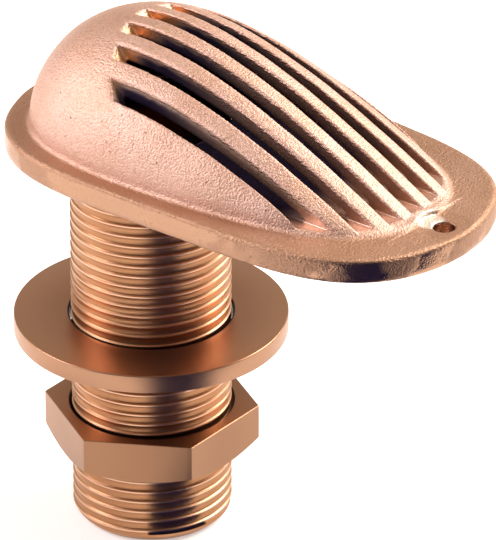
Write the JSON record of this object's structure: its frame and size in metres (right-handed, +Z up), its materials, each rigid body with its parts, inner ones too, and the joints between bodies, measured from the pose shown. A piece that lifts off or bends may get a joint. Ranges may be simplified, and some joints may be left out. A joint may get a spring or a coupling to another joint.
{
  "type": "scoop strainer thru hull fitting",
  "caption": "Cast bronze scoop strainer on an egg-shaped flange, with a threaded tail, a loose backing washer and a hex nut that runs up the thread to clamp the hull.",
  "frame": {"origin": "on the tail's axis, in the plane of the flange's sealing face", "axes": "+Z up the tail's axis and out through the strainer's crown, +X towards the toe with the screw hole, +Y across the slots"},
  "size_m": [0.1092, 0.0612, 0.1157],
  "materials": {
    "cast_bronze": "rough sand-cast bronze, slightly pink, with ground high spots",
    "turned_bronze": "turned bright bronze",
    "nut_bronze": "cast and machined bronze, satin"
  },
  "bodies": {
    "strainer": {"strainer_casting": "cast_bronze", "threaded_tail": "turned_bronze"},
    "washer": {"backing_washer": "turned_bronze"},
    "nut": {"hex_nut": "nut_bronze"}
  },
  "joints": [
    {"name": "washer_slide", "type": "slide", "parent": "strainer", "child": "washer", "axis": [0, 0, 1], "range_m": [-0.0161, 0.0395]},
    {"name": "nut_spin", "type": "hinge", "parent": "washer", "child": "nut", "pos_m": [0, 0, -0.0655], "axis": [0, 0, 1], "range_deg": [-2490, 6150]}
  ],
  "couplings": [
    {"joint": "washer_slide", "follows": "nut_spin", "m_per_rad": 0.00036749}
  ]
}
